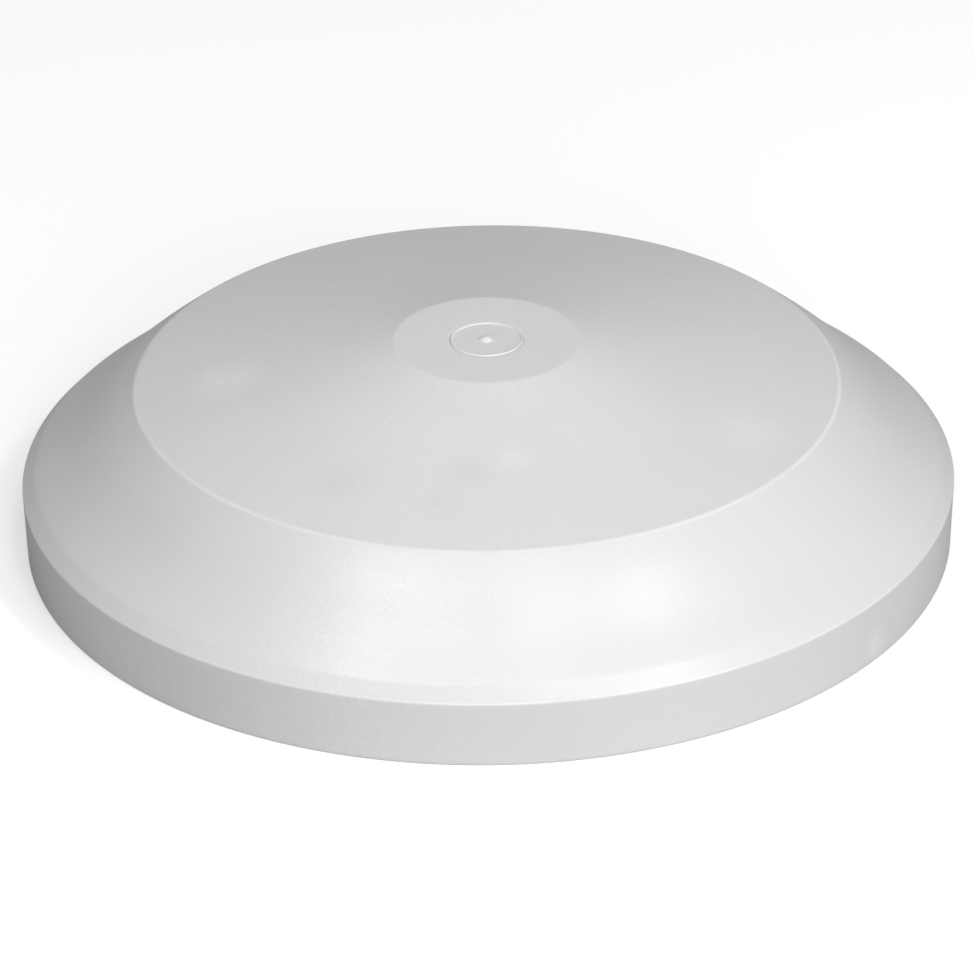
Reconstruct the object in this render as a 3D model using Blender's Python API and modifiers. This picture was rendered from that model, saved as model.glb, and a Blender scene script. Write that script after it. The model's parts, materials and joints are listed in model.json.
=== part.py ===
"""Round plastic cap for a timber fence post, with its centre fixing.

The cap is one moulding: a flat crown, a shallow cone, a steeper band and a short skirt. Underneath, a collar
goes over the post, a seat ring and a hub stand on the post's sawn end, and thin webs tie the collar to the
skirt. A screw with a washer and a rubber seal goes down through the hub, under a push-in cover.

Units are metres and +Z is up. The origin is on the axis, in the plane of the skirt's lower edge.
"""
import math

import bmesh
import bpy
from mathutils import Matrix

# ---------------------------------------------------------------- overall sizes
RIM_RADIUS = 0.1000          # at the sharp edge between the band and the skirt
SKIRT_HEIGHT = 0.0144
SKIRT_DRAFT = 0.00046        # the skirt's lower edge lies this much further in
CREASE_RADIUS = 0.0752       # where the band meets the cone
BAND_RISE = 0.0212
CONE_RISE = 0.0096
CROWN_RADIUS = 0.01995       # flat disc at the top
WALL = 0.0025

# ---------------------------------------------------------------- the post and what holds it
POST_RADIUS = 0.0750
POST_CLEARANCE = 0.0005
COLLAR_WALL = 0.0020
COLLAR_LIFT = 0.0040         # the collar ends this far above the skirt's lower edge
SEAT_DROP = 0.0060           # post's end below the moulding, at the collar's inner face
SEAT_RING_INSET = 0.0070     # from the post's side to the seat ring's outer face
SEAT_RING_WALL = 0.0020
WEB_COUNT = 12
WEB_THICKNESS = 0.0018
WEB_LIFT = 0.0065

# ---------------------------------------------------------------- hub
HUB_WALL = 0.0030
HUB_FLOOR = 0.0030
GUSSET_COUNT = 6
GUSSET_THICKNESS = 0.0016
GUSSET_REACH = 0.0130        # out from the hub's side
GUSSET_DEPTH = 0.0072        # down the hub's side
GUSSET_TOE = 0.0012

# ---------------------------------------------------------------- fixing
GAP = 0.0003                 # between pieces that touch
SCREW_RADIUS = 0.0025
SCREW_POINT = 0.0060
SCREW_TIP_LIFT = 0.0010      # the cap stands on its skirt and not on the screw
HEAD_RADIUS = 0.00475
HEAD_HEIGHT = 0.0034
HEAD_EDGE = 0.0012           # height of the upright edge under the dome
DRIVE_RADIUS = 0.0018
DRIVE_DEPTH = 0.0020
HOLE_CLEARANCE = 0.0005      # screw in the hub floor
WASHER_RADIUS = 0.0060
WASHER_THICKNESS = 0.0010
SEAL_THICKNESS = 0.0020
SEAL_ROUND = 0.0004
CHAMBER_CLEARANCE = 0.0005   # washer in the hub

# ---------------------------------------------------------------- cover
COVER_LIP = 0.00105          # the cover's disc reaches this far over its stem
COVER_THICKNESS = 0.0015
STEM_WALL = 0.0014
STEM_LONGEST = 0.0060        # below the hub's recess, where the screw's head leaves room
STEM_HEAD_CLEARANCE = 0.0015
SLOT_WIDTH = 0.0012
SLOT_ROOF = 0.0008
NUB_RADIUS = 0.00135
NUB_HEIGHT = 0.0006

SEGMENTS = 72                # round the cap
SMALL_SEGMENTS = 48          # round the fixing pieces
SHARP_ANGLE = math.radians(28)

# ---------------------------------------------------------------- derived sizes
CREASE_Z = SKIRT_HEIGHT + BAND_RISE
CROWN_Z = CREASE_Z + CONE_RISE
COLLAR_INNER = POST_RADIUS + POST_CLEARANCE
COLLAR_OUTER = COLLAR_INNER + COLLAR_WALL
SEAT_RING_OUTER = POST_RADIUS - SEAT_RING_INSET
SEAT_RING_INNER = SEAT_RING_OUTER - SEAT_RING_WALL
HOLE_RADIUS = SCREW_RADIUS + HOLE_CLEARANCE
CHAMBER_RADIUS = WASHER_RADIUS + CHAMBER_CLEARANCE
HUB_RADIUS = CHAMBER_RADIUS + HUB_WALL
STEM_RADIUS = CHAMBER_RADIUS - GAP
COVER_RADIUS = CHAMBER_RADIUS + COVER_LIP
RECESS_RADIUS = COVER_RADIUS + GAP
RECESS_FLOOR_Z = CROWN_Z - COVER_THICKNESS - GAP


def offset_line(points, distance):
    """The open line moved to its right-hand side by distance, with its corners mitred."""
    moved = []
    normals = []
    for (r0, z0), (r1, z1) in zip(points, points[1:]):
        length = math.hypot(r1 - r0, z1 - z0)
        normals.append(((z1 - z0) / length, (r0 - r1) / length))
    for index, (r, z) in enumerate(points):
        before = normals[max(index - 1, 0)]
        after = normals[min(index, len(normals) - 1)]
        share = distance / (1 + before[0] * after[0] + before[1] * after[1])
        moved.append((r + (before[0] + after[0]) * share, z + (before[1] + after[1]) * share))
    return moved


def line_inside(depth):
    """The outer line moved into the wall, with its foot kept level with the skirt's lower edge."""
    line = offset_line(OUTER_LINE, depth)
    line[-1] = (line[-1][0], OUTER_LINE[-1][1])
    return line


def height_at(line, radius):
    """Height of a line that falls outward, at a radius."""
    for (r0, z0), (r1, z1) in zip(line, line[1:]):
        if r0 < r1 and r0 <= radius <= r1:
            return z0 + (z1 - z0) * (radius - r0) / (r1 - r0)
    return line[0][1]


OUTER_LINE = [
    (RECESS_RADIUS, CROWN_Z),
    (CROWN_RADIUS, CROWN_Z),
    (CREASE_RADIUS, CREASE_Z),
    (RIM_RADIUS, SKIRT_HEIGHT),
    (RIM_RADIUS - SKIRT_DRAFT, 0.0),
]
MIDDLE_LINE = line_inside(WALL / 2)
INNER_LINE = line_inside(WALL)
SEAT_Z = height_at(INNER_LINE, COLLAR_INNER) - SEAT_DROP

# The fixing stands on the hub's floor, one piece on the next.
FLOOR_TOP_Z = SEAT_Z + HUB_FLOOR
SEAL_Z = FLOOR_TOP_Z + GAP
WASHER_Z = SEAL_Z + SEAL_THICKNESS + GAP
HEAD_Z = WASHER_Z + WASHER_THICKNESS + GAP
STEM_END_Z = max(HEAD_Z + HEAD_HEIGHT + STEM_HEAD_CLEARANCE, RECESS_FLOOR_Z - STEM_LONGEST)


def new_collection(name):
    collection = bpy.data.collections.new(name)
    bpy.context.scene.collection.children.link(collection)
    return collection


def plain_material(name, color, roughness, metallic=0.0):
    material = bpy.data.materials.new(name)
    material.use_nodes = True
    shader = material.node_tree.nodes["Principled BSDF"]
    shader.inputs["Base Color"].default_value = (*color, 1.0)
    shader.inputs["Roughness"].default_value = roughness
    shader.inputs["Metallic"].default_value = metallic
    material.diffuse_color = (*color, 1.0)
    return material


def turned(name, outline, segments, collection, closed=True):
    """A solid of revolution about Z from (radius, height) points that run down its outer side."""
    mesh = bpy.data.meshes.new(name)
    edges = [(i, i + 1) for i in range(len(outline) - 1)]
    if closed:
        edges.append((len(outline) - 1, 0))
    mesh.from_pydata([(r, 0.0, z) for r, z in outline], edges, [])
    piece = bpy.data.objects.new(name, mesh)
    collection.objects.link(piece)
    screw = piece.modifiers.new("Turn", "SCREW")
    screw.axis = "Z"
    screw.steps = segments
    screw.render_steps = segments
    screw.use_merge_vertices = True
    screw.merge_threshold = 0.00001
    screw.use_smooth_shade = False
    return piece


def boolean(piece, operation, tool):
    modifier = piece.modifiers.new(tool.name, "BOOLEAN")
    modifier.operation = operation
    modifier.solver = "EXACT"
    modifier.object = tool
    tool.hide_render = True
    tool.display_type = "WIRE"


def bake(piece, material):
    """Keep the evaluated shape as the piece's own mesh and shade it."""
    graph = bpy.context.evaluated_depsgraph_get()
    mesh = bpy.data.meshes.new_from_object(piece.evaluated_get(graph))
    piece.modifiers.clear()
    piece.data = mesh
    mesh.name = piece.name
    mesh.materials.clear()
    mesh.materials.append(material)
    mesh.shade_smooth()
    mesh.set_sharp_from_angle(angle=SHARP_ANGLE)


def radial_plates(name, outline, thickness, count, collection, turn=0.0):
    """Upright plates round the axis, all with one (radius, height) outline, in one object."""
    curve = bpy.data.curves.new(name, "CURVE")
    curve.dimensions = "2D"
    curve.fill_mode = "BOTH"
    curve.extrude = thickness / 2
    spline = curve.splines.new("POLY")
    spline.points.add(len(outline) - 1)
    for point, (r, z) in zip(spline.points, outline):
        point.co = (r, z, 0.0, 1.0)
    spline.use_cyclic_u = True
    flat = bpy.data.objects.new(name + "_outline", curve)
    collection.objects.link(flat)
    graph = bpy.context.evaluated_depsgraph_get()
    mesh = bpy.data.meshes.new_from_object(flat.evaluated_get(graph))
    bpy.data.objects.remove(flat)

    shape = bmesh.new()
    shape.from_mesh(mesh)
    bmesh.ops.remove_doubles(shape, verts=shape.verts, dist=0.00001)
    stand_up = Matrix.Rotation(turn, 4, "Z") @ Matrix.Rotation(math.radians(90), 4, "X")
    bmesh.ops.transform(shape, matrix=stand_up, verts=shape.verts)
    bmesh.ops.recalc_face_normals(shape, faces=shape.faces)
    step = math.tau / count
    if count > 1:
        bmesh.ops.spin(shape, geom=shape.verts[:] + shape.edges[:] + shape.faces[:], cent=(0, 0, 0),
                       axis=(0, 0, 1), angle=step * (count - 1), steps=count - 1, use_duplicate=True)
    shape.to_mesh(mesh)
    shape.free()
    plates = bpy.data.objects.new(name, mesh)
    collection.objects.link(plates)
    return plates


def underside_with_rings(rings):
    """The inner line from the skirt to the crown, with a ring hanging down at each (outer, inner, foot)."""
    line = []
    pending = sorted(rings, reverse=True)
    for r, z in reversed(INNER_LINE):
        while pending and r < pending[0][0]:
            outer, inner, foot = pending.pop(0)
            line += [
                (outer, height_at(INNER_LINE, outer)),
                (outer, foot),
                (inner, foot),
                (inner, height_at(INNER_LINE, inner)),
            ]
        line.append((r, z))
    return line


def make_cap_shell(collection, tools, material):
    rings = [
        (COLLAR_OUTER, COLLAR_INNER, COLLAR_LIFT),
        (SEAT_RING_OUTER, SEAT_RING_INNER, SEAT_Z),
    ]
    underside = underside_with_rings(rings)[:-1]
    hub_top = height_at(INNER_LINE, HUB_RADIUS)
    hub = [
        (HUB_RADIUS, hub_top),
        (HUB_RADIUS, SEAT_Z),
        (HOLE_RADIUS, SEAT_Z),
        (HOLE_RADIUS, FLOOR_TOP_Z),
        (CHAMBER_RADIUS, FLOOR_TOP_Z),
        (CHAMBER_RADIUS, RECESS_FLOOR_Z),
        (RECESS_RADIUS, RECESS_FLOOR_Z),
    ]
    shell = turned("cap_shell", OUTER_LINE + underside + hub, SEGMENTS, collection)

    collar_middle = (COLLAR_INNER + COLLAR_OUTER) / 2
    skirt_foot = MIDDLE_LINE[-1][0] + (MIDDLE_LINE[-2][0] - MIDDLE_LINE[-1][0]) * WEB_LIFT / SKIRT_HEIGHT
    web = [(collar_middle, WEB_LIFT), (skirt_foot, WEB_LIFT)]
    web += [(r, z) for r, z in reversed(MIDDLE_LINE[:-1]) if r > collar_middle]
    web.append((collar_middle, height_at(MIDDLE_LINE, collar_middle)))
    half_pitch = math.pi / WEB_COUNT
    boolean(shell, "UNION", radial_plates("webs", web, WEB_THICKNESS, WEB_COUNT, tools, half_pitch))

    hub_middle = HUB_RADIUS - HUB_WALL / 2
    reach = HUB_RADIUS + GUSSET_REACH
    gusset = [
        (hub_middle, hub_top - GUSSET_DEPTH),
        (HUB_RADIUS, hub_top - GUSSET_DEPTH),
        (reach, height_at(INNER_LINE, reach) - GUSSET_TOE),
        (reach, height_at(MIDDLE_LINE, reach)),
    ]
    gusset += [(r, z) for r, z in reversed(MIDDLE_LINE) if hub_middle < r < reach]
    gusset.append((hub_middle, height_at(MIDDLE_LINE, hub_middle)))
    boolean(shell, "UNION", radial_plates("gussets", gusset, GUSSET_THICKNESS, GUSSET_COUNT, tools))
    bake(shell, material)


def make_screw_cover(collection, tools, material):
    disc_under_z = CROWN_Z - COVER_THICKNESS
    stem_inner = STEM_RADIUS - STEM_WALL
    dome = []
    for step in range(4):
        angle = math.radians(30 * step)
        dome.append((NUB_RADIUS * math.sin(angle), CROWN_Z + NUB_HEIGHT * math.cos(angle)))
    outline = dome + [
        (COVER_RADIUS, CROWN_Z),
        (COVER_RADIUS, disc_under_z),
        (STEM_RADIUS, disc_under_z),
        (STEM_RADIUS, STEM_END_Z),
        (stem_inner, STEM_END_Z),
        (stem_inner, disc_under_z),
        (0.0, disc_under_z),
    ]
    cover = turned("screw_cover", outline, SMALL_SEGMENTS, collection, closed=False)
    slot_reach = STEM_RADIUS + GAP
    slot_top = disc_under_z - SLOT_ROOF
    slot_foot = STEM_END_Z - GAP
    slot = [(-slot_reach, slot_foot), (slot_reach, slot_foot), (slot_reach, slot_top), (-slot_reach, slot_top)]
    for name, turn in (("slot_x", 0.0), ("slot_y", math.pi / 2)):
        boolean(cover, "DIFFERENCE", radial_plates(name, slot, SLOT_WIDTH, 1, tools, turn))
    bake(cover, material)


def make_fixing_screw(collection, tools, material):
    point_z = SCREW_TIP_LIFT + SCREW_POINT
    head_top = HEAD_Z + HEAD_HEIGHT
    dome = []
    for step in range(5):
        angle = math.radians(22.5 * step)
        dome.append((HEAD_RADIUS * math.sin(angle),
                     HEAD_Z + HEAD_EDGE + (HEAD_HEIGHT - HEAD_EDGE) * math.cos(angle)))
    outline = dome + [
        (HEAD_RADIUS, HEAD_Z),
        (SCREW_RADIUS, HEAD_Z),
        (SCREW_RADIUS, point_z),
        (0.0, SCREW_TIP_LIFT),
    ]
    screw = turned("fixing_screw", outline, SMALL_SEGMENTS // 2, collection, closed=False)
    mesh = bpy.data.meshes.new("drive")
    shape = bmesh.new()
    bmesh.ops.create_cone(shape, cap_ends=True, segments=6, radius1=DRIVE_RADIUS, radius2=DRIVE_RADIUS,
                          depth=DRIVE_DEPTH * 2)
    shape.to_mesh(mesh)
    shape.free()
    drive = bpy.data.objects.new("drive", mesh)
    drive.location = (0.0, 0.0, head_top)
    tools.objects.link(drive)
    boolean(screw, "DIFFERENCE", drive)
    bpy.context.view_layer.update()
    bake(screw, material)


def make_rings(collection, steel, rubber):
    inner = SCREW_RADIUS + GAP
    washer_top = WASHER_Z + WASHER_THICKNESS
    washer = turned("steel_washer", [
        (inner, washer_top),
        (WASHER_RADIUS, washer_top),
        (WASHER_RADIUS, WASHER_Z),
        (inner, WASHER_Z),
    ], SMALL_SEGMENTS, collection)
    bake(washer, steel)
    seal_top = SEAL_Z + SEAL_THICKNESS
    seal = turned("washer_seal", [
        (inner, seal_top),
        (WASHER_RADIUS - SEAL_ROUND, seal_top),
        (WASHER_RADIUS, seal_top - SEAL_ROUND),
        (WASHER_RADIUS, SEAL_Z + SEAL_ROUND),
        (WASHER_RADIUS - SEAL_ROUND, SEAL_Z),
        (inner, SEAL_Z),
    ], SMALL_SEGMENTS, collection)
    bake(seal, rubber)


def put_cover_on_its_joint():
    """The cover's origin goes to the middle of its stem, on the axis that it is pulled along."""
    cover = bpy.data.objects["screw_cover"]
    origin_z = (STEM_END_Z + CROWN_Z) / 2
    cover.data.transform(Matrix.Translation((0.0, 0.0, -origin_z)))
    cover.location = (0.0, 0.0, origin_z)


def main():
    for leftover in list(bpy.data.objects):
        bpy.data.objects.remove(leftover)
    parts = new_collection("fence_post_cap")
    tools = new_collection("cutters")
    white = plain_material("white_plastic", (0.80, 0.79, 0.77), 0.42)
    steel = plain_material("zinc_steel", (0.62, 0.63, 0.65), 0.35, 1.0)
    rubber = plain_material("black_rubber", (0.03, 0.03, 0.03), 0.75)
    make_cap_shell(parts, tools, white)
    make_screw_cover(parts, tools, white)
    make_fixing_screw(parts, tools, steel)
    make_rings(parts, steel, rubber)
    put_cover_on_its_joint()


main()
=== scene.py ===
# Round plastic fence post cap: the finished look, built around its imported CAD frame.
import json
import math

import bmesh
import bpy
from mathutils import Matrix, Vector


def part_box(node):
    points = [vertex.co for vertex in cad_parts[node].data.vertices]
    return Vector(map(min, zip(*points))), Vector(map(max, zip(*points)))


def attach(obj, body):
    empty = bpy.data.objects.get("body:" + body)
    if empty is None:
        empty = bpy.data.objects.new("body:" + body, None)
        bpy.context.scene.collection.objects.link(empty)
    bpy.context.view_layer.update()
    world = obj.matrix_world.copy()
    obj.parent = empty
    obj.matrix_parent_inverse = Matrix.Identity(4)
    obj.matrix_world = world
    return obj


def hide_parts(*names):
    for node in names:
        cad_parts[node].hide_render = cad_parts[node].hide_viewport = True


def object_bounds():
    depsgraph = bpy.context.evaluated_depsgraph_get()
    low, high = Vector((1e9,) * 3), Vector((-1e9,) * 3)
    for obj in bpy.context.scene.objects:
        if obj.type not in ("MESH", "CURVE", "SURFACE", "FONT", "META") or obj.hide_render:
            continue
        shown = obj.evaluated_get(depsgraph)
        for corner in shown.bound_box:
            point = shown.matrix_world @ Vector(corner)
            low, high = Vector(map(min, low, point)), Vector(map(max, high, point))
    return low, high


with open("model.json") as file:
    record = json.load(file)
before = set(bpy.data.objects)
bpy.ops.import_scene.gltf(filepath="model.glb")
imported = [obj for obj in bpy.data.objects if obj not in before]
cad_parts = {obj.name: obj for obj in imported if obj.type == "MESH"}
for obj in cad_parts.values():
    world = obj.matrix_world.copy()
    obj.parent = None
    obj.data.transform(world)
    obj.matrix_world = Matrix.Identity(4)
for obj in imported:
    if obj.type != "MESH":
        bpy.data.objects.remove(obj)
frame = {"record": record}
cadLow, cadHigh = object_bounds()
print("frame loaded, rim", round(cadHigh.x * 2000), "mm across")

capLow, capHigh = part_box("cap_shell")
coverLow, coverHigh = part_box("screw_cover")
screwLow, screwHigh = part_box("fixing_screw")
washerLow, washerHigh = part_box("steel_washer")
sealLow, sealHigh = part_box("washer_seal")
seatZ = next(m["pos_m"][2] for m in frame["record"]["mounts"] if m["name"] == "post_seat")


# ---- ways of working in edit mode

def clearSelection():
    if bpy.context.mode != "OBJECT":
        bpy.ops.object.mode_set(mode="OBJECT")
    bpy.ops.object.select_all(action="DESELECT")


def makeActive(piece):
    clearSelection()
    piece.select_set(True)
    bpy.context.view_layer.objects.active = piece


def pickEdges(piece, wanted):
    # selects the edges whose two ends both pass the test
    bpy.ops.mesh.select_all(action="DESELECT")
    shape = bmesh.from_edit_mesh(piece.data)
    for edge in shape.edges:
        if all(wanted(math.hypot(v.co.x, v.co.y), v.co.z) for v in edge.verts):
            edge.select_set(True)
    bmesh.update_edit_mesh(piece.data)


def pickRing(piece, radius, height, slack=0.00003):
    pickEdges(piece, lambda r, z: abs(r - radius) < slack and abs(z - height) < slack)


def beginRing(name, radius, height, sides, filled=False):
    clearSelection()
    bpy.ops.mesh.primitive_circle_add(vertices=sides, radius=radius, location=(0, 0, height),
                                      fill_type="TRIFAN" if filled else "NOTHING")
    piece = bpy.context.object
    piece.name = name
    piece.data.name = name
    bpy.ops.object.transform_apply(location=True, rotation=True, scale=True)
    bpy.ops.object.mode_set(mode="EDIT")
    bpy.ops.mesh.select_mode(type="EDGE")
    pickRing(piece, radius, height)
    return piece


def pullRings(outline):
    # extrudes the picked ring through each (radius, height) of the outline in turn
    for (radius, height), (nextRadius, nextHeight) in zip(outline, outline[1:]):
        bpy.ops.mesh.extrude_edges_move(
            TRANSFORM_OT_translate={"value": (0, 0, nextHeight - height)})
        grow = nextRadius / radius
        bpy.ops.transform.resize(value=(grow, grow, 1), center_override=(0, 0, nextHeight))


def addSupports(outline, reach):
    # a ring on each side of every corner, so that the flats stay flat when they are shaded smooth
    supported = []
    for (radius, height), (nextRadius, nextHeight) in zip(outline, outline[1:]):
        supported.append((radius, height))
        length = math.hypot(nextRadius - radius, nextHeight - height)
        if length > reach * 2.5:
            for along in (reach / length, 1 - reach / length):
                supported.append((radius + (nextRadius - radius) * along,
                                  height + (nextHeight - height) * along))
    return supported + [outline[-1]]


def closeAndTurnOut(gap=0.00001):
    bpy.ops.mesh.select_all(action="SELECT")
    bpy.ops.mesh.remove_doubles(threshold=gap)
    bpy.ops.mesh.normals_make_consistent(inside=False)


def roundRing(piece, radius, height, size, steps):
    pickRing(piece, radius, height)
    bpy.ops.mesh.bevel(offset=size, offset_type="OFFSET", segments=steps, profile=0.5,
                       affect="EDGES")


def applyModifier(piece, modifier):
    makeActive(piece)
    bpy.ops.object.modifier_apply(modifier=modifier.name)


def combine(piece, tool, operation):
    modifier = piece.modifiers.new("combine", "BOOLEAN")
    modifier.operation = operation
    modifier.solver = "EXACT"
    modifier.object = tool
    applyModifier(piece, modifier)
    bpy.data.objects.remove(tool)


def copyAround(piece, count, start=0.0):
    # turned copies round the axis, each with its own mesh, joined into one tool
    copies = []
    for index in range(count):
        makeActive(piece)
        bpy.ops.object.duplicate(linked=False)
        bpy.ops.object.mode_set(mode="EDIT")
        bpy.ops.mesh.select_all(action="SELECT")
        turn = start + math.tau * index / count
        bpy.ops.transform.rotate(value=turn, orient_axis="Z", orient_type="GLOBAL",
                                 center_override=(0, 0, 0))
        bpy.ops.object.mode_set(mode="OBJECT")
        copies.append(bpy.context.object)
    bpy.data.objects.remove(piece)
    clearSelection()
    for one in copies:
        one.select_set(True)
    bpy.context.view_layer.objects.active = copies[0]
    bpy.ops.object.join()
    return bpy.context.object


def pickVertices(piece, wanted):
    bpy.ops.mesh.select_mode(type="VERT")
    bpy.ops.mesh.select_all(action="DESELECT")
    shape = bmesh.from_edit_mesh(piece.data)
    for vertex in shape.verts:
        vertex.select_set(wanted(vertex.co))
    bmesh.update_edit_mesh(piece.data)


def smoothByAngle(piece, degrees):
    makeActive(piece)
    bpy.ops.object.shade_smooth_by_angle(angle=math.radians(degrees))


# ---- the moulded cap

capShape = {
    "sides": 256,
    "skirtHeight": 0.0144,
    "skirtDraft": 0.00046,     # the skirt's foot is this much inside the rim
    "creaseRadius": 0.0752,
    "bandRise": 0.0212,
    "bandSteps": 24,
    "bandSwing": 2.4,          # degrees that the band's slope swings along its length
    "bandSwell": 0.46,         # where it is steepest, from the crease to the strip
    "bandPeriod": 0.86,
    "stripWidth": 0.0040,      # the steeper strip just above the rim
    "stripTilt": 46.5,
    "crownRadius": 0.01995,
    "wall": 0.0025,
    "postRadius": 0.0750,
    "collarClearance": 0.0005,
    "collarWall": 0.0020,
    "collarFoot": 0.0040,
    "seatInset": 0.0070,
    "seatWall": 0.0020,
    "hubWall": 0.0030,
    "hubFloor": 0.0030,
    "screwRadius": 0.0025,
    "holeClearance": 0.0005,
    "chamberClearance": 0.0005,
    "recessDepth": 0.0018,
    "seam": 0.00003,           # hairline round the cover
    "supportReach": 0.0009,    # how far the support rings stand from a corner
    "mouldDraft": 0.00012,     # a hanging wall is this much thinner on each side at its foot
    "webs": 12,
    "webThickness": 0.0018,
    "webFoot": 0.0065,
    "webTaper": 0.78,          # its foot's thickness, as a share of its top's
    "gussets": 6,
    "gussetThickness": 0.0016,
    "gussetReach": 0.0130,
    "gussetDepth": 0.0072,
    "gussetEnd": 0.0012,       # how deep it still is at its outer end
    "gussetTaper": 0.8,
    "ejectorMarks": 8,
    "ejectorRadius": 0.0030,
    "ejectorDepth": 0.00015,
    "ejectorOut": 0.0450,
}
capRounds = {
    # how far each edge is rounded, and in how many steps
    "recess": (0.00008, 2),
    "crown": (0.00025, 3),
    "crease": (0.0006, 5),
    "strip": (0.0004, 3),
    "rim": (0.00022, 4),
    "footOutside": (0.0002, 3),
    "footInside": (0.0004, 3),
    "bandRoot": (0.0006, 3),
    "collarOutside": (0.0004, 2),
    "collarInside": (0.0006, 2),
    "seatFoot": (0.0003, 2),
    "seatRoot": (0.0005, 3),
    "hubRoot": (0.0008, 3),
    "hubFoot": (0.0004, 2),
    "hole": (0.0003, 2),
    "chamber": (0.0002, 2),
}
coverShape = {
    "sides": 96,
    "radius": coverHigh.x + 0.00025,
    "poleRadius": 0.0004,      # a turned piece starts and ends in a ring this small, then merged
    "thickness": 0.0015,
    "edgeRound": 0.0002,
    "lip": 0.0013,             # from the stem out to the frame's cover edge
    "stemWall": 0.0014,
    "stemRound": 0.0003,
    "nubRadius": 0.0015,
    "nubFillet": 0.0002,
    "nubUneven": 0.12,
    "beadWidth": 0.00044,      # the raised ring round the cover
    "beadHeight": 0.00022,
    "beadInset": 0.00004,
    "snapBead": 0.00018,
    "snapHeights": (0.0009, 0.0012, 0.0016),   # its foot, its top and where it runs out
    "slots": 4,
    "slotWidth": 0.0012,
    "slotRoof": 0.0008,
    "supportReach": 0.0003,
}

rimRadius = capHigh.x
crownZ = capHigh.z
rimZ = capShape["skirtHeight"]
creaseRadius = capShape["creaseRadius"]
creaseZ = rimZ + capShape["bandRise"]
wall = capShape["wall"]
bandSlope = (creaseZ - rimZ) / (rimRadius - creaseRadius)
coneSlope = (crownZ - creaseZ) / (creaseRadius - capShape["crownRadius"])
bandAngle = math.atan(bandSlope)
coneAngle = math.atan(coneSlope)
stemRadius = coverHigh.x - coverShape["lip"]
chamberRadius = washerHigh.x + capShape["chamberClearance"]
hubRadius = chamberRadius + capShape["hubWall"]
holeRadius = capShape["screwRadius"] + capShape["holeClearance"]
floorTopZ = seatZ + capShape["hubFloor"]
recessFloorZ = crownZ - capShape["recessDepth"]
recessRadius = coverShape["radius"] + capShape["seam"]
collarInner = capShape["postRadius"] + capShape["collarClearance"]
collarOuter = collarInner + capShape["collarWall"]
seatOuter = capShape["postRadius"] - capShape["seatInset"]
seatInner = seatOuter - capShape["seatWall"]


def bandUnder(radius, depth=wall):
    return rimZ + (rimRadius - radius) * bandSlope - depth / math.cos(bandAngle)


def coneUnder(radius, depth=wall):
    return creaseZ + (creaseRadius - radius) * coneSlope - depth / math.cos(coneAngle)


def meetUnder():
    # where the undersides of the band and the cone meet
    drop = wall * (1 / math.cos(bandAngle) - 1 / math.cos(coneAngle))
    return creaseRadius - drop / (bandSlope - coneSlope)


def bandCurve(endRadius, endZ):
    # from the crease to the strip, a little steeper in the middle than at its ends
    shape = capShape
    steps = shape["bandSteps"]
    length = math.hypot(endRadius - creaseRadius, creaseZ - endZ)
    mean = math.atan2(creaseZ - endZ, endRadius - creaseRadius)
    drops = []
    drop = 0.0
    for step in range(steps):
        along = (step + 0.5) / steps
        swing = math.cos(math.tau * (along - shape["bandSwell"]) / shape["bandPeriod"])
        drop += math.radians(shape["bandSwing"]) * swing * length / steps
        drops.append(drop)
    curve = []
    for step in range(1, steps):
        along = step / steps
        off = drops[step - 1] - drops[-1] * along
        curve.append((creaseRadius + (endRadius - creaseRadius) * along - off * math.sin(mean),
                      creaseZ - (creaseZ - endZ) * along - off * math.cos(mean)))
    return curve


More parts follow.
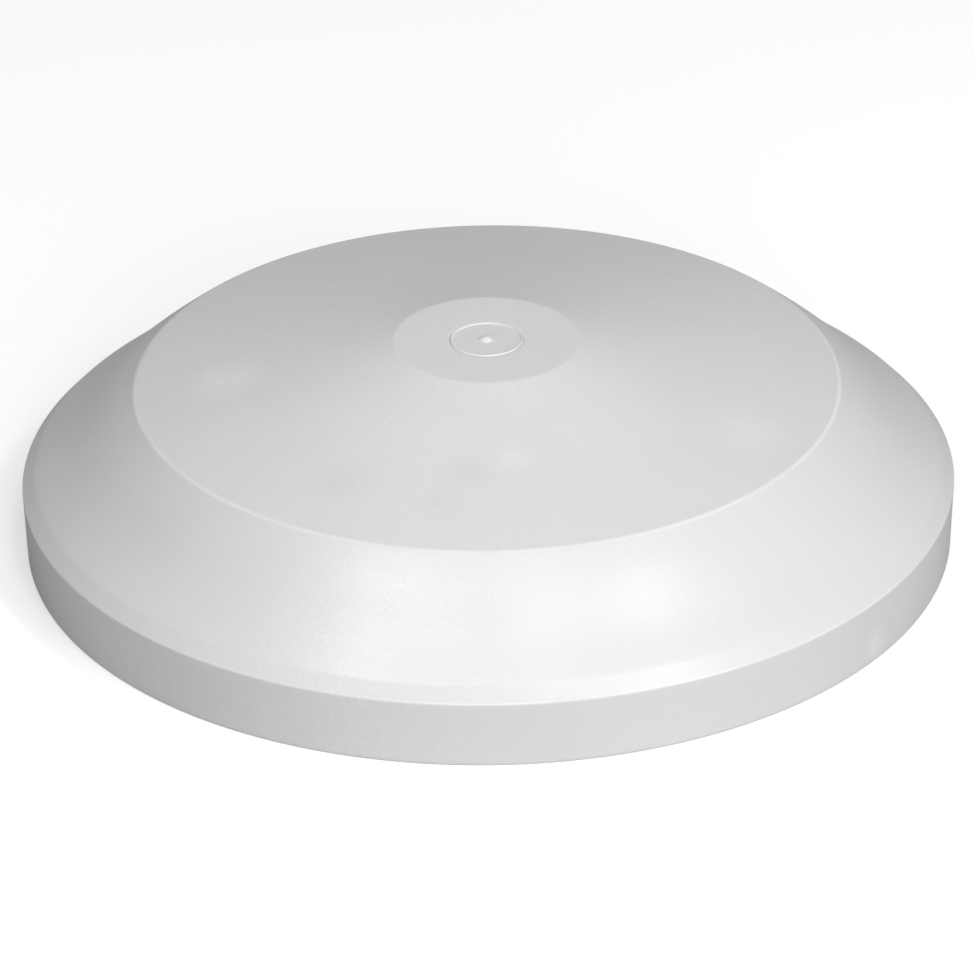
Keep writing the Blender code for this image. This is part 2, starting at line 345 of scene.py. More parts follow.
def makeCap():
    shape = capShape
    draft = shape["mouldDraft"]
    rimInner = rimRadius - wall
    footOuter = rimRadius - shape["skirtDraft"]
    outer = [(recessRadius, crownZ), (shape["crownRadius"], crownZ), (creaseRadius, creaseZ)]
    stripTilt = math.radians(shape["stripTilt"])
    stripRadius = rimRadius - shape["stripWidth"] * math.cos(stripTilt)
    stripZ = rimZ + shape["stripWidth"] * math.sin(stripTilt)
    outer += bandCurve(stripRadius, stripZ)
    outer += [(stripRadius, stripZ), (rimRadius, rimZ), (footOuter, 0), (footOuter - wall, 0)]
    creaseUnder = meetUnder()
    crownUnderRadius = creaseRadius - (crownZ - wall - coneUnder(creaseRadius)) / coneSlope
    under = [
        (rimInner, bandUnder(rimInner)),
        (collarOuter, bandUnder(collarOuter)),
        (collarOuter - draft, shape["collarFoot"]),
        (collarInner + draft, shape["collarFoot"]),
        (collarInner, bandUnder(collarInner)),
        (creaseUnder, coneUnder(creaseUnder)),
        (seatOuter, coneUnder(seatOuter)),
        (seatOuter - draft, seatZ),
        (seatInner + draft, seatZ),
        (seatInner, coneUnder(seatInner)),
        (crownUnderRadius, crownZ - wall),
        (hubRadius, crownZ - wall),
        (hubRadius - draft, seatZ),
        (holeRadius, seatZ),
        (holeRadius, floorTopZ),
        (chamberRadius, floorTopZ),
        (chamberRadius, recessFloorZ),
        (recessRadius, recessFloorZ),
        (recessRadius, crownZ),
    ]
    cap = beginRing("capMoulding", recessRadius, crownZ, shape["sides"])
    pullRings(addSupports(outer + under, shape["supportReach"]))
    closeAndTurnOut()
    rounded = [
        (recessRadius, crownZ, "recess"),
        (shape["crownRadius"], crownZ, "crown"),
        (creaseRadius, creaseZ, "crease"),
        (stripRadius, stripZ, "strip"),
        (rimRadius, rimZ, "rim"),
        (footOuter, 0, "footOutside"),
        (footOuter - wall, 0, "footInside"),
        (rimInner, bandUnder(rimInner), "bandRoot"),
        (collarOuter, bandUnder(collarOuter), "bandRoot"),
        (collarOuter - draft, shape["collarFoot"], "collarOutside"),
        (collarInner + draft, shape["collarFoot"], "collarInside"),
        (seatOuter - draft, seatZ, "seatFoot"),
        (seatInner + draft, seatZ, "seatFoot"),
        (seatOuter, coneUnder(seatOuter), "seatRoot"),
        (seatInner, coneUnder(seatInner), "seatRoot"),
        (hubRadius, crownZ - wall, "hubRoot"),
        (hubRadius - draft, seatZ, "hubFoot"),
        (holeRadius, seatZ, "hole"),
        (chamberRadius, recessFloorZ, "chamber"),
    ]
    for radius, height, edge in rounded:
        roundRing(cap, radius, height, *capRounds[edge])
    bpy.ops.object.mode_set(mode="OBJECT")
    return cap


def makeWebs():
    # thin plates from the collar out to the skirt, under the band
    shape = capShape
    footZ = shape["webFoot"]
    inside = (collarInner + collarOuter) / 2
    outside = rimRadius - wall / 2 - 0.0003
    middle = (inside + outside) / 2
    topZ = footZ + 0.002
    clearSelection()
    bpy.ops.mesh.primitive_cube_add(size=1, location=(middle, 0, footZ + 0.5))
    web = bpy.context.object
    web.name = "web"
    bpy.ops.object.transform_apply(location=True, rotation=True, scale=True)
    bpy.ops.object.mode_set(mode="EDIT")
    bpy.ops.mesh.select_all(action="SELECT")
    bpy.ops.transform.resize(value=(outside - inside, shape["webThickness"], 0.002),
                             center_override=(middle, 0, footZ))
    pickVertices(web, lambda co: co.z > topZ - 0.0005 and co.x < middle)
    bpy.ops.transform.translate(value=(0, 0, bandUnder(inside, wall / 2) - topZ))
    pickVertices(web, lambda co: co.z > topZ - 0.0005 and co.x > middle)
    bpy.ops.transform.translate(value=(0, 0, bandUnder(outside, wall / 2) - topZ))
    pickVertices(web, lambda co: co.z < footZ + 0.0001)
    bpy.ops.transform.resize(value=(1, shape["webTaper"], 1), center_override=(middle, 0, footZ))
    bpy.ops.object.mode_set(mode="OBJECT")
    return copyAround(web, shape["webs"], math.pi / shape["webs"])


def makeGussets():
    # small brackets from the hub out under the crown
    shape = capShape
    inside = hubRadius - shape["hubWall"] / 2
    outside = hubRadius + shape["gussetReach"]
    middle = (inside + outside) / 2
    topZ = crownZ - wall / 2
    lowZ = crownZ - wall - shape["gussetDepth"]
    clearSelection()
    bpy.ops.mesh.primitive_cube_add(size=1, location=(middle, 0, topZ - 0.5))
    gusset = bpy.context.object
    gusset.name = "gusset"
    bpy.ops.object.transform_apply(location=True, rotation=True, scale=True)
    bpy.ops.object.mode_set(mode="EDIT")
    bpy.ops.mesh.select_all(action="SELECT")
    bpy.ops.transform.resize(value=(outside - inside, shape["gussetThickness"], topZ - lowZ),
                             center_override=(middle, 0, topZ))
    pickVertices(gusset, lambda co: co.z < lowZ + 0.0005 and co.x > middle)
    bpy.ops.transform.translate(value=(0, 0, coneUnder(outside) - shape["gussetEnd"] - lowZ))
    pickVertices(gusset, lambda co: co.z > topZ - 0.0002 and co.x > middle)
    bpy.ops.transform.translate(value=(0, 0, coneUnder(outside, wall / 2) - topZ))
    pickVertices(gusset, lambda co: co.z < topZ - wall)
    bpy.ops.transform.resize(value=(1, shape["gussetTaper"], 1), center_override=(middle, 0, topZ))
    bpy.ops.object.mode_set(mode="OBJECT")
    return copyAround(gusset, shape["gussets"])


def makeEjectorMarks():
    # shallow round witness marks on the underside of the cone
    shape = capShape
    out = shape["ejectorOut"]
    tall = 0.004
    middleZ = coneUnder(out) + shape["ejectorDepth"] - tall / 2
    clearSelection()
    bpy.ops.mesh.primitive_cylinder_add(vertices=32, radius=shape["ejectorRadius"], depth=tall,
                                        location=(out, 0, middleZ))
    mark = bpy.context.object
    mark.name = "mark"
    bpy.ops.object.transform_apply(location=True, rotation=True, scale=True)
    bpy.ops.object.mode_set(mode="EDIT")
    bpy.ops.mesh.select_all(action="SELECT")
    bpy.ops.transform.rotate(value=-coneAngle, orient_axis="Y", orient_type="GLOBAL",
                             center_override=(out, 0, coneUnder(out)))
    bpy.ops.object.mode_set(mode="OBJECT")
    return copyAround(mark, shape["ejectorMarks"], math.pi / shape["ejectorMarks"])


cap = makeCap()
combine(cap, makeWebs(), "UNION")
combine(cap, makeGussets(), "UNION")
combine(cap, makeEjectorMarks(), "DIFFERENCE")
smoothByAngle(cap, 24)
print("cap moulded,", len(cap.data.polygons), "faces")


# ---- the push-in cover

def makeCover():
    shape = coverShape
    edge = shape["radius"]
    topZ = crownZ
    underZ = crownZ - shape["thickness"]
    nubHeight = coverHigh.z - crownZ
    nub = shape["nubRadius"]
    edgeRound = shape["edgeRound"]
    beadMiddle = edge - shape["beadWidth"] / 2 - shape["beadInset"]
    stemInner = stemRadius - shape["stemWall"]
    stemRound = shape["stemRound"]
    snapRadius = stemRadius + shape["snapBead"]
    snapLow, snapHigh, snapEnd = shape["snapHeights"]
    top = [(shape["poleRadius"], topZ + nubHeight * 0.86)]
    for degrees in (40, 62, 80):
        angle = math.radians(degrees)
        top.append((nub * math.sin(angle) * 0.94, topZ + nubHeight * 0.92 * math.cos(angle)))
    top.append((nub + shape["nubFillet"], topZ))
    top.append((beadMiddle - shape["beadWidth"] * 2, topZ))
    for degrees in range(0, 181, 30):
        angle = math.radians(degrees)
        top.append((beadMiddle - shape["beadWidth"] / 2 * math.cos(angle),
                    topZ + shape["beadHeight"] * math.sin(angle)))
    below = [
        (edge, topZ - 0.0001),
        (edge, underZ + edgeRound),
        (edge - edgeRound, underZ),
        (stemRadius + stemRound, underZ),
        (stemRadius, underZ - stemRound),
        (stemRadius, coverLow.z + snapEnd),
        (snapRadius, coverLow.z + snapHigh),
        (snapRadius, coverLow.z + snapLow),
        (stemRadius - stemRound, coverLow.z),
        (stemInner + edgeRound, coverLow.z),
        (stemInner, coverLow.z + edgeRound),
        (stemInner, underZ),
        (shape["poleRadius"], underZ),
    ]
    cover = beginRing("screwCover", top[0][0], top[0][1], shape["sides"], filled=True)
    pullRings(addSupports(top + below, shape["supportReach"]))
    bpy.ops.mesh.merge(type="CENTER")
    closeAndTurnOut(0.000004)
    bpy.ops.object.mode_set(mode="OBJECT")
    for vertex in cover.data.vertices:
        # the nub is a little lopsided, as a trimmed one is
        spread = math.hypot(vertex.co.x, vertex.co.y)
        if vertex.co.z > topZ + 0.00002 and spread < nub * 1.1:
            turn = math.atan2(vertex.co.y, vertex.co.x)
            vertex.co.x *= 1 - shape["nubUneven"] * math.cos(3 * turn)
            vertex.co.y *= 1 + shape["nubUneven"] * math.sin(2 * turn)
    return cover


def makeSlots():
    shape = coverShape
    roofZ = crownZ - shape["thickness"] - shape["slotRoof"]
    clearSelection()
    bpy.ops.mesh.primitive_cube_add(size=1, location=(0, 0, 0))
    slot = bpy.context.object
    slot.name = "slot"
    bpy.ops.object.mode_set(mode="EDIT")
    bpy.ops.mesh.select_all(action="SELECT")
    tall = roofZ - coverLow.z + 0.001
    reach = stemRadius * 1.2
    bpy.ops.transform.resize(value=(reach, shape["slotWidth"], tall), center_override=(0, 0, 0))
    bpy.ops.transform.translate(value=(stemRadius * 0.6 + 0.002, 0, roofZ - tall / 2))
    bpy.ops.object.mode_set(mode="OBJECT")
    return copyAround(slot, shape["slots"])


cover = makeCover()
combine(cover, makeSlots(), "DIFFERENCE")
smoothByAngle(cover, 40)
print("cover made,", len(cover.data.polygons), "faces")


# ---- the fixing: screw, washer and seal

screwShape = {
    "sides": 48,
    "poleRadius": 0.0003,
    "coreRadius": 0.00175,
    "neckRadius": 0.00215,
    "threadRadius": 0.0025,
    "neckLength": 0.0060,
    "pitch": 0.0024,
    "threadWidth": 0.00055,
    "pointLength": 0.0060,
    "headEdge": 0.0012,
    "headRound": 0.0003,
    "neckRound": 0.0004,
    "neckStep": 0.0006,
    "pointRings": ((0.0009, 0.0024), (0.0002, 0.0001)),   # radius, and height over the tip
    "threadStart": 0.0014,
    "threadEnd": 0.0022,
    "threadSink": 0.00015,     # how far its root is sunk in the core
    "threadSteps": 36,
    "threadLeast": 0.12,       # its height at both ends, as a share
    "driveWidth": 0.00105,
    "driveReach": 0.0022,
    "driveDepth": 0.0019,
    "driveTaper": (0.45, 0.8, 1),
}
flatRings = {
    "sides": 72,
    "hole": 0.0028,
    "washerRound": 0.00018,
    "sealRound": 0.0005,
    "roundSteps": 3,
}


def makeScrew():
    shape = screwShape
    headRadius = screwHigh.x
    headZ = washerHigh.z + (sealLow.z - floorTopZ)
    domeRise = screwHigh.z - headZ - shape["headEdge"]
    pointZ = screwLow.z + shape["pointLength"]
    neckZ = headZ - shape["neckLength"]
    outline = [(shape["poleRadius"], screwHigh.z)]
    for degrees in range(15, 91, 15):
        angle = math.radians(degrees)
        outline.append((headRadius * math.sin(angle),
                        headZ + shape["headEdge"] + domeRise * math.cos(angle)))
    outline += [
        (headRadius, headZ + shape["headRound"]),
        (headRadius - shape["headRound"], headZ),
        (shape["neckRadius"] + shape["neckRound"], headZ),
        (shape["neckRadius"], headZ - shape["neckRound"]),
        (shape["neckRadius"], neckZ),
        (shape["coreRadius"], neckZ - shape["neckStep"]),
        (shape["coreRadius"], pointZ),
    ]
    for radius, height in shape["pointRings"]:
        outline.append((radius, screwLow.z + height))
    screw = beginRing("fixingScrew", outline[0][0], outline[0][1], shape["sides"], filled=True)
    pullRings(outline)
    bpy.ops.mesh.merge(type="CENTER")
    closeAndTurnOut(0.000004)
    bpy.ops.object.mode_set(mode="OBJECT")
    return screw, neckZ


def makeThread(neckZ):
    # a three-sided strip wound round the core, thinning out at both ends
    shape = screwShape
    turns = int((neckZ - screwLow.z - shape["threadEnd"]) / shape["pitch"])
    startZ = screwLow.z + shape["threadStart"]
    deep = shape["threadRadius"] - shape["coreRadius"] + shape["threadSink"]
    clearSelection()
    bpy.ops.mesh.primitive_circle_add(vertices=3, radius=1, location=(0, 0, 0),
                                      fill_type="NOTHING")
    thread = bpy.context.object
    thread.name = "thread"
    bpy.ops.object.mode_set(mode="EDIT")
    bpy.ops.mesh.select_all(action="SELECT")
    bpy.ops.transform.rotate(value=math.radians(90), orient_axis="Z", orient_type="GLOBAL",
                             center_override=(0, 0, 0))
    triangle = bmesh.from_edit_mesh(thread.data)
    tip = max(triangle.verts, key=lambda v: abs(v.co.x))
    side = 1 if tip.co.x > 0 else -1
    bmesh.update_edit_mesh(thread.data)
    # a triangle of radius 1 is 1.5 long and twice 0.866 wide
    bpy.ops.transform.resize(value=(side * deep / 1.5, shape["threadWidth"] / 0.866, 1),
                             center_override=(0, 0, 0))
    bpy.ops.transform.rotate(value=math.radians(90), orient_axis="X", orient_type="GLOBAL",
                             center_override=(0, 0, 0))
    bpy.ops.transform.translate(value=(shape["threadRadius"] - deep / 1.5, 0, startZ))
    bpy.ops.object.mode_set(mode="OBJECT")
    wind = thread.modifiers.new("wind", "SCREW")
    wind.axis = "Z"
    wind.angle = math.tau
    wind.screw_offset = shape["pitch"]
    wind.iterations = turns
    wind.steps = shape["threadSteps"]
    wind.render_steps = shape["threadSteps"]
    wind.use_merge_vertices = False
    applyModifier(thread, wind)
    bpy.ops.object.mode_set(mode="EDIT")
    bpy.ops.mesh.select_all(action="SELECT")
    bpy.ops.mesh.remove_doubles(threshold=0.000002)
    bpy.ops.mesh.select_all(action="SELECT")
    bpy.ops.mesh.fill_holes(sides=3)
    bpy.ops.mesh.select_all(action="SELECT")
    bpy.ops.mesh.normals_make_consistent(inside=False)
    bpy.ops.object.mode_set(mode="OBJECT")
    endZ = startZ + turns * shape["pitch"]
    pointZ = screwLow.z + shape["pointLength"]
    least = shape["threadLeast"]
    core = shape["coreRadius"]
    for vertex in thread.data.vertices:
        radius = math.hypot(vertex.co.x, vertex.co.y)
        rise = min(1, max(0.0, (vertex.co.z - screwLow.z) / (pointZ - screwLow.z)))
        fade = min(1, max(least, (endZ - vertex.co.z) / shape["pitch"]))
        keep = (core - 0.0002) * rise + (radius - core + 0.0002) * min(rise + least, fade)
        vertex.co.x *= keep / radius
        vertex.co.y *= keep / radius
    return thread


def makeDrive():
    # the cross recess in the head
    shape = screwShape
    clearSelection()
    bpy.ops.mesh.primitive_cube_add(size=1, location=(0, 0, 0))
    blade = bpy.context.object
    blade.name = "blade"
    bpy.ops.object.mode_set(mode="EDIT")
    bpy.ops.mesh.select_all(action="SELECT")
    tall = shape["driveDepth"] + 0.001
    floorZ = screwHigh.z - shape["driveDepth"]
    bpy.ops.transform.resize(value=(shape["driveReach"] * 2, shape["driveWidth"], tall),
                             center_override=(0, 0, 0))
    bpy.ops.transform.translate(value=(0, 0, floorZ + tall / 2))
    pickVertices(blade, lambda co: co.z < floorZ + 0.0001)
    bpy.ops.transform.resize(value=shape["driveTaper"], center_override=(0, 0, screwHigh.z))
    bpy.ops.object.mode_set(mode="OBJECT")
    makeActive(blade)
    bpy.ops.object.duplicate(linked=False)
    other = bpy.context.object
    bpy.ops.object.mode_set(mode="EDIT")
    bpy.ops.mesh.select_all(action="SELECT")
    bpy.ops.transform.rotate(value=math.radians(90), orient_axis="Z", orient_type="GLOBAL",
                             center_override=(0, 0, 0))
    bpy.ops.object.mode_set(mode="OBJECT")
    return blade, other


def makeFlatRing(name, low, high, edges):
    hole = flatRings["hole"]
    ring = beginRing(name, hole, high.z, flatRings["sides"])
    pullRings([(hole, high.z), (high.x, high.z), (high.x, low.z), (hole, low.z), (hole, high.z)])
    closeAndTurnOut()
    for radius, height in ((hole, high.z), (high.x, high.z), (high.x, low.z), (hole, low.z)):
        roundRing(ring, radius, height, edges, flatRings["roundSteps"])
    bpy.ops.object.mode_set(mode="OBJECT")
    smoothByAngle(ring, 40)
    return ring


screw, neckZ = makeScrew()
combine(screw, makeThread(neckZ), "UNION")
for blade in makeDrive():
    combine(screw, blade, "DIFFERENCE")
smoothByAngle(screw, 35)
washer = makeFlatRing("steelWasher", washerLow, washerHigh, flatRings["washerRound"])
seal = makeFlatRing("washerSeal", sealLow, sealHigh, flatRings["sealRound"])
print("fixing made,", len(screw.data.polygons), "faces on the screw")


# ---- materials

def newMaterial(name, color, roughness, metallic=0.0):
    material = bpy.data.materials.new(name)
    material.use_nodes = True
    nodes = material.node_tree.nodes
    shader = nodes["Principled BSDF"]
    shader.inputs["Base Color"].default_value = (*color, 1)
    shader.inputs["Roughness"].default_value = roughness
    shader.inputs["Metallic"].default_value = metallic
    place = nodes.new("ShaderNodeTexCoord")
    return material, nodes, material.node_tree.links, shader, place


def addNoise(nodes, links, place, scale, detail=2.0, rough=0.5, stretch=(1, 1, 1)):
    mapping = nodes.new("ShaderNodeMapping")
    mapping.inputs["Scale"].default_value = stretch
    links.new(place.outputs["Object"], mapping.inputs["Vector"])
    noise = nodes.new("ShaderNodeTexNoise")
    noise.inputs["Scale"].default_value = scale
    noise.inputs["Detail"].default_value = detail
    noise.inputs["Roughness"].default_value = rough
    links.new(mapping.outputs["Vector"], noise.inputs["Vector"])
    return noise.outputs["Fac"]


def remap(nodes, links, value, low, high, toLow, toHigh):
    ranged = nodes.new("ShaderNodeMapRange")
    ranged.inputs["From Min"].default_value = low
    ranged.inputs["From Max"].default_value = high
    ranged.inputs["To Min"].default_value = toLow
    ranged.inputs["To Max"].default_value = toHigh
    links.new(value, ranged.inputs["Value"])
    return ranged.outputs["Result"]


def blendColor(nodes, links, amount, first, second):
    mix = nodes.new("ShaderNodeMix")
    mix.data_type = "RGBA"
    links.new(amount, mix.inputs["Factor"])
    for socket, color in ((mix.inputs["A"], first), (mix.inputs["B"], second)):
        if isinstance(color, tuple):
            socket.default_value = (*color, 1)
        else:
            links.new(color, socket)
    return mix.outputs["Result"]


plasticLook = {
    "color": (0.78, 0.772, 0.76),
    "shade": (0.735, 0.727, 0.715),
    # the lighter colour painted on the moulded edges as a highlight
    "edgeColor": (0.93, 0.925, 0.915),
    "roughness": (0.285, 0.335),
    "edgeRoughness": 0.20,
    "mottleScale": 22,
    "flecks": 1300,
    "blotchScale": 160,        # breaks up the lighter and darker marks
    "wearScale": 90,           # breaks up the painted edge highlights
    "rubScale": 60,            # where the surface is duller and glossier
    "grainScale": 2600,
    "grainHeight": 0.000010,
    "waveScale": 30,
    "waveHeight": 0.000012,
    "speck": (0.22, 0.20, 0.18),
    "speckScale": 95,
    "speckSize": (0.014, 0.026),      # full inside the first, gone past the second
    "speckShare": (0.93, 0.94),       # cells above this have a speck
    "speckStrength": 0.6,
    "scuff": (0.90, 0.895, 0.885),
    "grime": (0.62, 0.61, 0.59),
    "ior": 1.49,
}


def onOutside(x, y):
    # the place on the cap's outside that lies over x, y
    radius = math.hypot(x, y)
    if radius < capShape["crownRadius"]:
        return (x, y, crownZ)
    if radius < creaseRadius:
        return (x, y, creaseZ + (creaseRadius - radius) * coneSlope)
    return (x, y, rimZ + (rimRadius - radius) * bandSlope)


# lighter and darker marks on the cap, and small dark specks: where, size and strength
lightMarks = [
    (onOutside(-0.055, -0.005), 0.010, 0.45),
    (onOutside(0.055, -0.030), 0.010, 0.3),
    (onOutside(0.005, -0.045), 0.006, 0.3),
    ((0.080, -0.060, 0.004), 0.005, 0.5),
]
darkMarks = [
    (onOutside(-0.005, -0.050), 0.007, 0.3),
    (onOutside(-0.030, -0.050), 0.009, 0.3),
    (onOutside(-0.010, -0.060), 0.006, 0.3),
    (onOutside(-0.005, 0.020), 0.0003, 0.9),
    (onOutside(-0.005, -0.010), 0.0003, 0.9),
    (onOutside(0.010, -0.012), 0.0003, 0.7),
    (onOutside(0.008, -0.070), 0.0003, 0.8),
    ((-0.072, -0.069, 0.002), 0.0005, 1.0),
]


def distanceTo(nodes, links, vector, point):
    away = nodes.new("ShaderNodeVectorMath")
    away.operation = "DISTANCE"
    links.new(vector, away.inputs[0])
    away.inputs[1].default_value = point
    return away.outputs["Value"]


def multiply(nodes, links, first, second):
    both = nodes.new("ShaderNodeMath")
    both.operation = "MULTIPLY"
    links.new(first, both.inputs[0])
    links.new(second, both.inputs[1])
    return both.outputs["Value"]


def edgeMask(nodes, links, place, edges):
    # strongest on each moulded edge, given by its radius, height, reach and strength
    flat = nodes.new("ShaderNodeVectorMath")
    flat.operation = "MULTIPLY"
    flat.inputs[1].default_value = (1, 1, 0)
    links.new(place.outputs["Object"], flat.inputs[0])
    radius = nodes.new("ShaderNodeVectorMath")
    radius.operation = "LENGTH"
    links.new(flat.outputs["Vector"], radius.inputs[0])
    split = nodes.new("ShaderNodeSeparateXYZ")
    links.new(place.outputs["Object"], split.inputs["Vector"])
    section = nodes.new("ShaderNodeCombineXYZ")
    links.new(radius.outputs["Value"], section.inputs["X"])
    links.new(split.outputs["Z"], section.inputs["Y"])
    mask = None
    for edgeRadius, edgeHeight, reach, strength in edges:
        away = distanceTo(nodes, links, section.outputs["Vector"], (edgeRadius, edgeHeight, 0))
        near = remap(nodes, links, away, reach * 0.4, reach, strength, 0)
        if mask is None:
            mask = near
        else:
            higher = nodes.new("ShaderNodeMath")
            higher.operation = "MAXIMUM"
            links.new(mask, higher.inputs[0])
            links.new(near, higher.inputs[1])
            mask = higher.outputs["Value"]
    return mask


def blendValue(nodes, links, amount, first, second):
    mix = nodes.new("ShaderNodeMix")
    links.new(amount, mix.inputs["Factor"])
    links.new(first, mix.inputs["A"])
    mix.inputs["B"].default_value = second
    return mix.outputs["Result"]


def addMarks(nodes, links, place, color, marks, markColor, blotch):
    for point, size, strength in marks:
        near = remap(nodes, links, distanceTo(nodes, links, place.outputs["Object"], point),
                     size * 0.2, size, strength, 0)
        color = blendColor(nodes, links, multiply(nodes, links, near, blotch), color, markColor)
    return color


def satinPlastic(name, edges, tone=1.0):
    look = plasticLook
    baseColor = tuple(part * tone for part in look["color"])
    shadeColor = tuple(part * tone for part in look["shade"])
    material, nodes, links, shader, place = newMaterial(name, baseColor, 0.3)
    mottle = addNoise(nodes, links, place, look["mottleScale"], 3)
    fine = addNoise(nodes, links, place, look["flecks"], 2, 0.7)
    color = blendColor(nodes, links, remap(nodes, links, mottle, 0.35, 0.65, 0, 1), baseColor, shadeColor)
    color = blendColor(nodes, links, remap(nodes, links, fine, 0.35, 0.65, 0, 1), color, shadeColor)

    # sparse dust specks in the pellets
    cells = nodes.new("ShaderNodeTexVoronoi")
    cells.inputs["Scale"].default_value = look["speckScale"]
    links.new(place.outputs["Object"], cells.inputs["Vector"])
    near = remap(nodes, links, cells.outputs["Distance"], *look["speckSize"], 1, 0)
    lot = nodes.new("ShaderNodeSeparateColor")
    links.new(cells.outputs["Color"], lot.inputs["Color"])
    chosen = remap(nodes, links, lot.outputs["Red"], *look["speckShare"], 0, look["speckStrength"])
    color = blendColor(nodes, links, multiply(nodes, links, near, chosen), color, look["speck"])

    # lighter and darker marks, broken up by noise
    blotchNoise = addNoise(nodes, links, place, look["blotchScale"], 3, 0.6)
    blotch = remap(nodes, links, blotchNoise, 0.3, 0.6, 0.4, 1)
    color = addMarks(nodes, links, place, color, lightMarks, look["scuff"], blotch)
    color = addMarks(nodes, links, place, color, darkMarks, look["grime"], blotch)

    # moulded edges get a painted highlight in a lighter colour, and are glossier
    edge = edgeMask(nodes, links, place, edges)
    edgeHighlightNoise = addNoise(nodes, links, place, look["wearScale"], 3)
    edgeHighlightAndGloss = multiply(nodes, links, edge, remap(nodes, links, edgeHighlightNoise, 0.3, 0.6, 0.5, 1))
    color = blendColor(nodes, links, edgeHighlightAndGloss, color, look["edgeColor"])
    links.new(color, shader.inputs["Base Color"])
    rub = addNoise(nodes, links, place, look["rubScale"], 4, 0.6)
    rough = remap(nodes, links, rub, 0.3, 0.7, *look["roughness"])
    rough = blendValue(nodes, links, edgeHighlightAndGloss, rough, look["edgeRoughness"])
    links.new(rough, shader.inputs["Roughness"])

    grain = nodes.new("ShaderNodeBump")
    grain.inputs["Distance"].default_value = look["grainHeight"]
    links.new(addNoise(nodes, links, place, look["grainScale"], 2, 0.6), grain.inputs["Height"])
    wave = nodes.new("ShaderNodeBump")
    wave.inputs["Distance"].default_value = look["waveHeight"]
    links.new(addNoise(nodes, links, place, look["waveScale"], 1, 0.4), wave.inputs["Height"])
    links.new(grain.outputs["Normal"], wave.inputs["Normal"])
    links.new(wave.outputs["Normal"], shader.inputs["Normal"])
    shader.inputs["IOR"].default_value = look["ior"]
    return material


zincLook = {
    "bright": (0.72, 0.73, 0.75),
    "dull": (0.48, 0.49, 0.5),
    "roughness": (0.22, 0.42),
    "cloudScale": 420,
    "brushScale": 3000,
    "brushStretch": (1, 1, 8),
    "brushHeight": 0.00001,
}
rubberLook = {
    "color": (0.018, 0.018, 0.019),
    "bloom": (0.05, 0.05, 0.05),
    "roughness": (0.6, 0.85),
    "bloomScale": 600,
    "grainScale": 2500,
    "grainHeight": 0.00002,
}


def addBump(nodes, links, shader, height, distance):
    bump = nodes.new("ShaderNodeBump")
    bump.inputs["Distance"].default_value = distance
    links.new(height, bump.inputs["Height"])
    links.new(bump.outputs["Normal"], shader.inputs["Normal"])


def zincPlate(name):
    look = zincLook
    material, nodes, links, shader, place = newMaterial(name, look["bright"], 0.3, 1.0)
    cloud = addNoise(nodes, links, place, look["cloudScale"], 4, 0.6)
    color = blendColor(nodes, links, cloud, look["bright"], look["dull"])
    links.new(color, shader.inputs["Base Color"])
    links.new(remap(nodes, links, cloud, 0.3, 0.7, *look["roughness"]), shader.inputs["Roughness"])
    brush = addNoise(nodes, links, place, look["brushScale"], 3, 0.6, look["brushStretch"])
    addBump(nodes, links, shader, brush, look["brushHeight"])
    return material


def blackRubber(name):
    look = rubberLook
    material, nodes, links, shader, place = newMaterial(name, look["color"], 0.7)
    bloom = addNoise(nodes, links, place, look["bloomScale"], 4, 0.6)
    color = blendColor(nodes, links, bloom, look["color"], look["bloom"])
    links.new(color, shader.inputs["Base Color"])
    links.new(remap(nodes, links, bloom, 0.3, 0.7, *look["roughness"]), shader.inputs["Roughness"])
    grain = addNoise(nodes, links, place, look["grainScale"], 3, 0.6)
    addBump(nodes, links, shader, grain, look["grainHeight"])
    return material


def dress(piece, material, body, node):
    piece.data.materials.clear()
    piece.data.materials.append(material)
    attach(piece, body)
    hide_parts(node)


# painted edge highlights: radius, height, reach and strength
capHighlightEdges = [
    (creaseRadius, creaseZ, 0.0006, 0.55),
    (rimRadius, rimZ, 0.0005, 0.35),
]
# painted highlights on the cover's raised bead and on its nub
coverHighlightEdges = [
    (coverShape["radius"] - coverShape["beadWidth"] / 2, crownZ + coverShape["beadHeight"],
     0.0005, 0.6),
    (0, coverHigh.z, coverShape["nubRadius"] * 1.3, 1.0),
]
plastic = satinPlastic("satinWhitePlastic", capHighlightEdges)
coverPlastic = satinPlastic("coverPlastic", coverHighlightEdges, 0.985)
zinc = zincPlate("zincPlate")
rubber = blackRubber("blackRubber")
dress(cap, plastic, "cap", "cap_shell")
dress(cover, coverPlastic, "cover", "screw_cover")
dress(screw, zinc, "cap", "fixing_screw")
dress(washer, zinc, "cap", "steel_washer")
dress(seal, rubber, "cap", "washer_seal")
print("materials on")


# ---- floor, light and camera

studio = {
    "floorSize": 6.0,
    "floorGap": 0.0001,        # keeps the cap's foot and the floor apart
    "floorColor": (0.93, 0.93, 0.93),
    "floorGlow": 0.3,
    "floorBounce": (0.42, 0.42, 0.42),
    "worldColor": (1.0, 1.0, 1.0),
    "worldStrength": 0.2,
    "worldSeen": 0.93,
    "boxDistance": 1.6,
}
softBoxes = {
    # name: (degrees round to the right of the front, degrees up, size, watts)
    "frontLow": (0, 18, 0.6, 7.5),
    "rightLow": (45, 18, 0.6, 5.0),
    "rightMiddle": (45, 42, 0.6, 4.0),
    "behind": (180, 42, 0.6, 1.5),
    "leftSpark": (-50, 63, 0.2, 2.5),
    "leftGlow": (-25, 64, 0.3, 2.0),
    "stripGlow": (22, 57, 0.3, 2.0),
    "middleGlow": (20, 68, 0.3, 1.5),
    "rightSpark": (55, 54, 0.2, 2.5),
}
cameraSetup = {
    "elevation": 28.59,
    "distance": 1.231,
    "lens": 211.9,
    "roll": -0.76,
    "aimBelow": 0.0041,        # it looks this much below and left of the rim's middle
    "aimLeft": 0.0005,
}


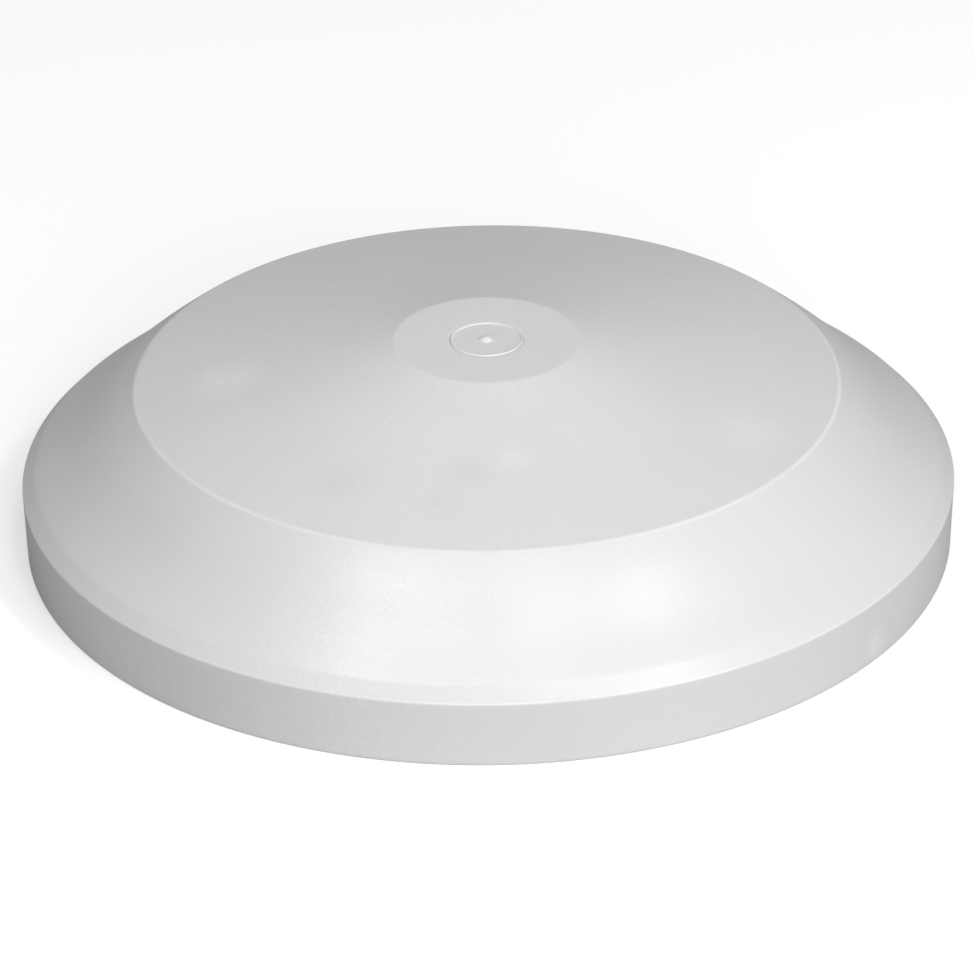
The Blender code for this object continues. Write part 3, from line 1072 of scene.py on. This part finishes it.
def makeFloor():
    clearSelection()
    bpy.ops.mesh.primitive_plane_add(size=studio["floorSize"],
                                     location=(0, 0, cadLow.z - studio["floorGap"]))
    floor = bpy.context.object
    floor.name = "studioFloor"
    material, nodes, links, shader = newMaterial("paleFloor", studio["floorColor"], 0.9)[:4]
    shader.inputs["Specular IOR Level"].default_value = 0.1
    shader.inputs["Emission Color"].default_value = (1, 1, 1, 1)
    shader.inputs["Emission Strength"].default_value = studio["floorGlow"]
    # the floor looks pale, but throws less light up at the cap
    dull = nodes.new("ShaderNodeBsdfDiffuse")
    dull.inputs["Color"].default_value = (*studio["floorBounce"], 1)
    ray = nodes.new("ShaderNodeLightPath")
    either = nodes.new("ShaderNodeMixShader")
    links.new(ray.outputs["Is Camera Ray"], either.inputs["Fac"])
    links.new(dull.outputs["BSDF"], either.inputs[1])
    links.new(shader.outputs["BSDF"], either.inputs[2])
    links.new(either.outputs["Shader"], nodes["Material Output"].inputs["Surface"])
    floor.data.materials.append(material)


def makeSoftBox(name, turn, lift, size, strength):
    turn = math.radians(turn)
    lift = math.radians(lift)
    distance = studio["boxDistance"]
    light = bpy.data.lights.new(name, "AREA")
    light.shape = "SQUARE"
    light.size = size
    light.energy = strength
    box = bpy.data.objects.new(name, light)
    bpy.context.scene.collection.objects.link(box)
    box.location = (distance * math.sin(turn) * math.cos(lift),
                    -distance * math.cos(turn) * math.cos(lift),
                    distance * math.sin(lift))
    box.rotation_euler = box.location.to_track_quat("Z", "Y").to_euler()


def makeWorld():
    # a pale room to look at, and a dimmer one to light by
    world = bpy.data.worlds.new("paleRoom")
    world.use_nodes = True
    nodes = world.node_tree.nodes
    links = world.node_tree.links
    dim = nodes["Background"]
    pale = nodes.new("ShaderNodeBackground")
    for background, strength in ((dim, studio["worldStrength"]), (pale, studio["worldSeen"])):
        background.inputs["Color"].default_value = (*studio["worldColor"], 1)
        background.inputs["Strength"].default_value = strength
    ray = nodes.new("ShaderNodeLightPath")
    either = nodes.new("ShaderNodeMixShader")
    links.new(ray.outputs["Is Camera Ray"], either.inputs["Fac"])
    links.new(dim.outputs["Background"], either.inputs[1])
    links.new(pale.outputs["Background"], either.inputs[2])
    links.new(either.outputs["Shader"], nodes["World Output"].inputs["Surface"])
    bpy.context.scene.world = world


def makeCamera():
    setup = cameraSetup
    lens = bpy.data.cameras.new("camera")
    lens.lens = setup["lens"]
    lens.sensor_width = 36
    lens.clip_start = 0.05
    lens.clip_end = 50
    camera = bpy.data.objects.new("camera", lens)
    bpy.context.scene.collection.objects.link(camera)
    tilt = math.radians(setup["elevation"])
    upY, upZ = math.sin(tilt), math.cos(tilt)
    back = (0, -math.cos(tilt), math.sin(tilt))
    aim = [-setup["aimLeft"], -upY * setup["aimBelow"], rimZ - upZ * setup["aimBelow"]]
    camera.location = [a + b * setup["distance"] for a, b in zip(aim, back)]
    camera.rotation_euler = (math.radians(90) - tilt, 0, 0)
    camera.rotation_euler.rotate_axis("Z", math.radians(setup["roll"]))
    bpy.context.scene.camera = camera


makeFloor()
makeWorld()
for name, (turn, lift, size, strength) in softBoxes.items():
    makeSoftBox(name, turn, lift, size, strength)
makeCamera()
bpy.context.scene.view_settings.view_transform = "Standard"
print("studio ready")
